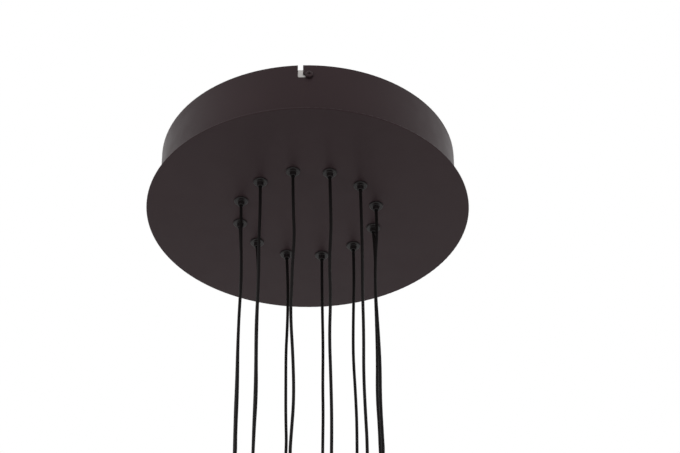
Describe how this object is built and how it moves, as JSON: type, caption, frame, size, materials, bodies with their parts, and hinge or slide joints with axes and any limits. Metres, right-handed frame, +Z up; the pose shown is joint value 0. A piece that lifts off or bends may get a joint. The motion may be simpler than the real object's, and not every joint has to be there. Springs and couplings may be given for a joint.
{
  "type": "cluster pendant",
  "caption": "Round twist-on drum canopy with a ring of cord grips, from which slim lamps hang on thin cords.",
  "frame": {"origin": "centre of the bracket's ceiling face, between its two fixing slots", "axes": "+Z up into the ceiling, -Y towards the front lock screw, along the bracket"},
  "size_m": [0.4, 0.4, 0.5725],
  "materials": {
    "bronze_coat": "satin dark bronze powder coat with a fine texture",
    "dark_fitting": "black satin moulded nylon",
    "zinc_steel": "zinc-plated sheet steel",
    "black_screw": "black oxide with a dull sheen",
    "cord_black": "black PVC cord with a satin skin",
    "lamp_metal": "turned aluminium, satin dark bronze paint",
    "opal": "opal light cover, faintly glossy",
    "driver_case": "off-white moulded plastic",
    "board_green": "green lacquered circuit board",
    "connector_white": "white moulded plastic",
    "terminal_plastic": "natural white polyamide",
    "brass_screw": "bare brass",
    "lead_grey": "white PVC sheath",
    "earth_green": "green PVC insulation, tinned ring terminal"
  },
  "bodies": {
    "bracket": {"ceiling_bracket": "zinc_steel", "bracket_earth_screw": "brass_screw"},
    "canopy": {"canopy_drum": "bronze_coat", "base_plate": "bronze_coat", "flange_nuts": "zinc_steel", "cord_grips": "dark_fitting", "grip_locknuts": "dark_fitting", "cord_tails": "cord_black", "board_standoffs": "zinc_steel", "distribution_board": "board_green", "pan_screws": "zinc_steel", "cord_connectors": "connector_white", "power_connector": "connector_white", "led_driver": "driver_case", "driver_end_covers": "driver_case", "mains_terminal_block": "terminal_plastic", "terminal_screws": "brass_screw", "mains_lead": "lead_grey", "output_lead": "lead_grey", "earth_lead": "earth_green"},
    "lock_washer_front": {"lock_washer_front": "black_screw"},
    "lock_screw_front": {"lock_screw_front": "black_screw"},
    "lock_washer_back": {"lock_washer_back": "black_screw"},
    "lock_screw_back": {"lock_screw_back": "black_screw"},
    "pendant_01": {"cord_01": "cord_black", "lamp_head_01": "lamp_metal", "led_module_01": "opal"},
    "pendant_02": {"cord_02": "cord_black", "lamp_head_02": "lamp_metal", "led_module_02": "opal"},
    "pendant_03": {"cord_03": "cord_black", "lamp_head_03": "lamp_metal", "led_module_03": "opal"},
    "pendant_04": {"cord_04": "cord_black", "lamp_head_04": "lamp_metal", "led_module_04": "opal"},
    "pendant_05": {"cord_05": "cord_black", "lamp_head_05": "lamp_metal", "led_module_05": "opal"},
    "pendant_06": {"cord_06": "cord_black", "lamp_head_06": "lamp_metal", "led_module_06": "opal"},
    "pendant_07": {"cord_07": "cord_black", "lamp_head_07": "lamp_metal", "led_module_07": "opal"},
    "pendant_08": {"cord_08": "cord_black", "lamp_head_08": "lamp_metal", "led_module_08": "opal"},
    "pendant_09": {"cord_09": "cord_black", "lamp_head_09": "lamp_metal", "led_module_09": "opal"},
    "pendant_10": {"cord_10": "cord_black", "lamp_head_10": "lamp_metal", "led_module_10": "opal"},
    "pendant_11": {"cord_11": "cord_black", "lamp_head_11": "lamp_metal", "led_module_11": "opal"},
    "pendant_12": {"cord_12": "cord_black", "lamp_head_12": "lamp_metal", "led_module_12": "opal"}
  },
  "joints": [
    {"name": "canopy_twist", "type": "hinge", "parent": "bracket", "child": "canopy", "pos_m": [0, 0, 0], "axis": [0, 0, 1], "range_deg": [0, 3.2]},
    {"name": "lock_front_travel", "type": "slide", "parent": "bracket", "child": "lock_washer_front", "axis": [0, -1, 0], "range_m": [0, 0.0016]},
    {"name": "lock_front_turn", "type": "hinge", "parent": "lock_washer_front", "child": "lock_screw_front", "pos_m": [0, -0.1845, -0.0174], "axis": [0, -1, 0], "range_deg": [0, 720]},
    {"name": "lock_back_travel", "type": "slide", "parent": "bracket", "child": "lock_washer_back", "axis": [0, 1, 0], "range_m": [0, 0.0016]},
    {"name": "lock_back_turn", "type": "hinge", "parent": "lock_washer_back", "child": "lock_screw_back", "pos_m": [0, 0.1845, -0.0174], "axis": [0, 1, 0], "range_deg": [0, 720]},
    {"name": "pendant_swing_01", "type": "hinge", "parent": "canopy", "child": "pendant_01", "pos_m": [-0.08217, -0.02606, -0.0905], "axis": [-0.3024, 0.9532, 0], "range_deg": [-5, 25]},
    {"name": "pendant_swing_02", "type": "hinge", "parent": "canopy", "child": "pendant_02", "pos_m": [-0.05812, -0.06365, -0.0905], "axis": [-0.7385, 0.6743, 0], "range_deg": [-5, 25]},
    {"name": "pendant_swing_03", "type": "hinge", "parent": "canopy", "child": "pendant_03", "pos_m": [-0.01851, -0.08419, -0.0905], "axis": [-0.9767, 0.2147, 0], "range_deg": [-5, 25]},
    {"name": "pendant_swing_04", "type": "hinge", "parent": "canopy", "child": "pendant_04", "pos_m": [0.02606, -0.08217, -0.0905], "axis": [-0.9532, -0.3024, 0], "range_deg": [-5, 25]},
    {"name": "pendant_swing_05", "type": "hinge", "parent": "canopy", "child": "pendant_05", "pos_m": [0.06365, -0.05812, -0.0905], "axis": [-0.6743, -0.7385, 0], "range_deg": [-5, 25]},
    {"name": "pendant_swing_06", "type": "hinge", "parent": "canopy", "child": "pendant_06", "pos_m": [0.08419, -0.01851, -0.0905], "axis": [-0.2147, -0.9767, 0], "range_deg": [-5, 25]},
    {"name": "pendant_swing_07", "type": "hinge", "parent": "canopy", "child": "pendant_07", "pos_m": [0.08217, 0.02606, -0.0905], "axis": [0.3024, -0.9532, 0], "range_deg": [-5, 25]},
    {"name": "pendant_swing_08", "type": "hinge", "parent": "canopy", "child": "pendant_08", "pos_m": [0.05812, 0.06365, -0.0905], "axis": [0.7385, -0.6743, 0], "range_deg": [-5, 25]},
    {"name": "pendant_swing_09", "type": "hinge", "parent": "canopy", "child": "pendant_09", "pos_m": [0.01851, 0.08419, -0.0905], "axis": [0.9767, -0.2147, 0], "range_deg": [-5, 25]},
    {"name": "pendant_swing_10", "type": "hinge", "parent": "canopy", "child": "pendant_10", "pos_m": [-0.02606, 0.08217, -0.0905], "axis": [0.9532, 0.3024, 0], "range_deg": [-5, 25]},
    {"name": "pendant_swing_11", "type": "hinge", "parent": "canopy", "child": "pendant_11", "pos_m": [-0.06365, 0.05812, -0.0905], "axis": [0.6743, 0.7385, 0], "range_deg": [-5, 25]},
    {"name": "pendant_swing_12", "type": "hinge", "parent": "canopy", "child": "pendant_12", "pos_m": [-0.08419, 0.01851, -0.0905], "axis": [0.2147, 0.9767, 0], "range_deg": [-5, 25]}
  ],
  "couplings": [
    {"joint": "lock_front_turn", "follows": "lock_front_travel", "rad_per_m": 7854},
    {"joint": "lock_back_turn", "follows": "lock_back_travel", "rad_per_m": 7854}
  ]
}
